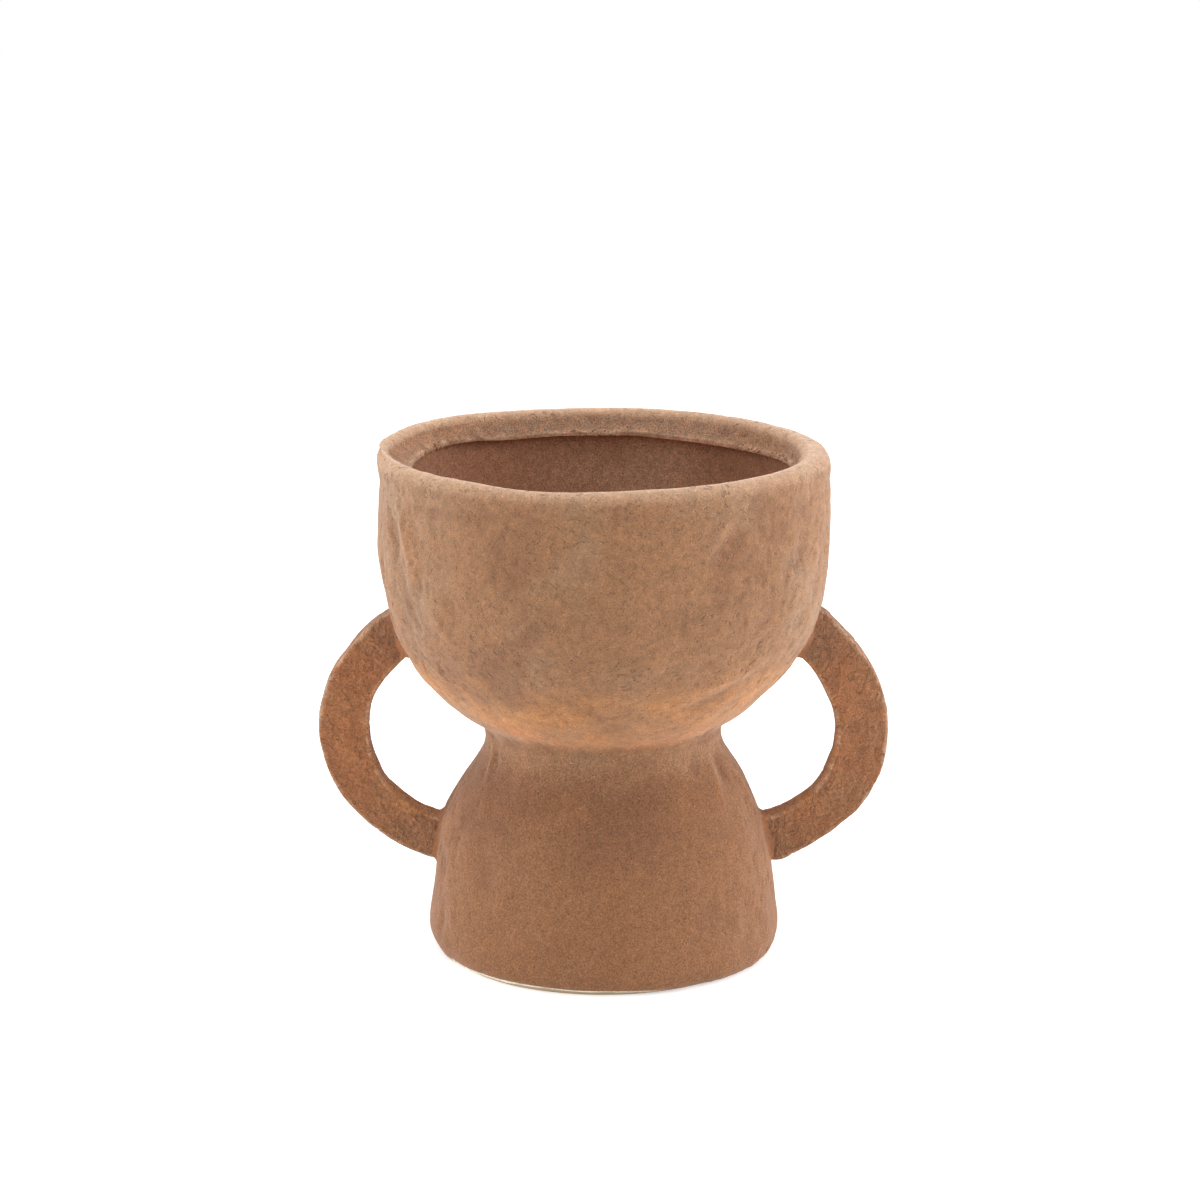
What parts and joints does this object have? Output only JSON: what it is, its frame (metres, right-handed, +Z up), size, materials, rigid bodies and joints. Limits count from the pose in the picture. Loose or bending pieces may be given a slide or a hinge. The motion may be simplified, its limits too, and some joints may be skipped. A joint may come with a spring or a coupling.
{
  "type": "ceramic vase",
  "caption": "Ceramic vase with a wide round bowl on a narrow waist and a bell-shaped pedestal, with flat loop handles at the sides and a thick lip, in matt unglazed terracotta.",
  "frame": {"origin": "centre of the foot ring's lower face, on the table", "axes": "+Z up along the vase's axis, handles along X, the pictured side faces -Y"},
  "size_m": [0.2014, 0.1568, 0.18],
  "materials": {
    "terracotta": "matt, sandy",
    "handle_terracotta": "matt, rough",
    "slip": "matt, smoothed",
    "bare_clay": "matt, bare"
  },
  "bodies": {
    "root": {"foot_ring": "bare_clay", "base_disc": "terracotta", "pedestal": "terracotta", "neck_coil": "terracotta", "bowl": "terracotta", "rim_coil": "terracotta", "left_handle": "handle_terracotta", "right_handle": "handle_terracotta", "left_upper_slip": "slip", "left_lower_slip": "slip", "right_upper_slip": "slip", "right_lower_slip": "slip"}
  },
  "joints": []
}
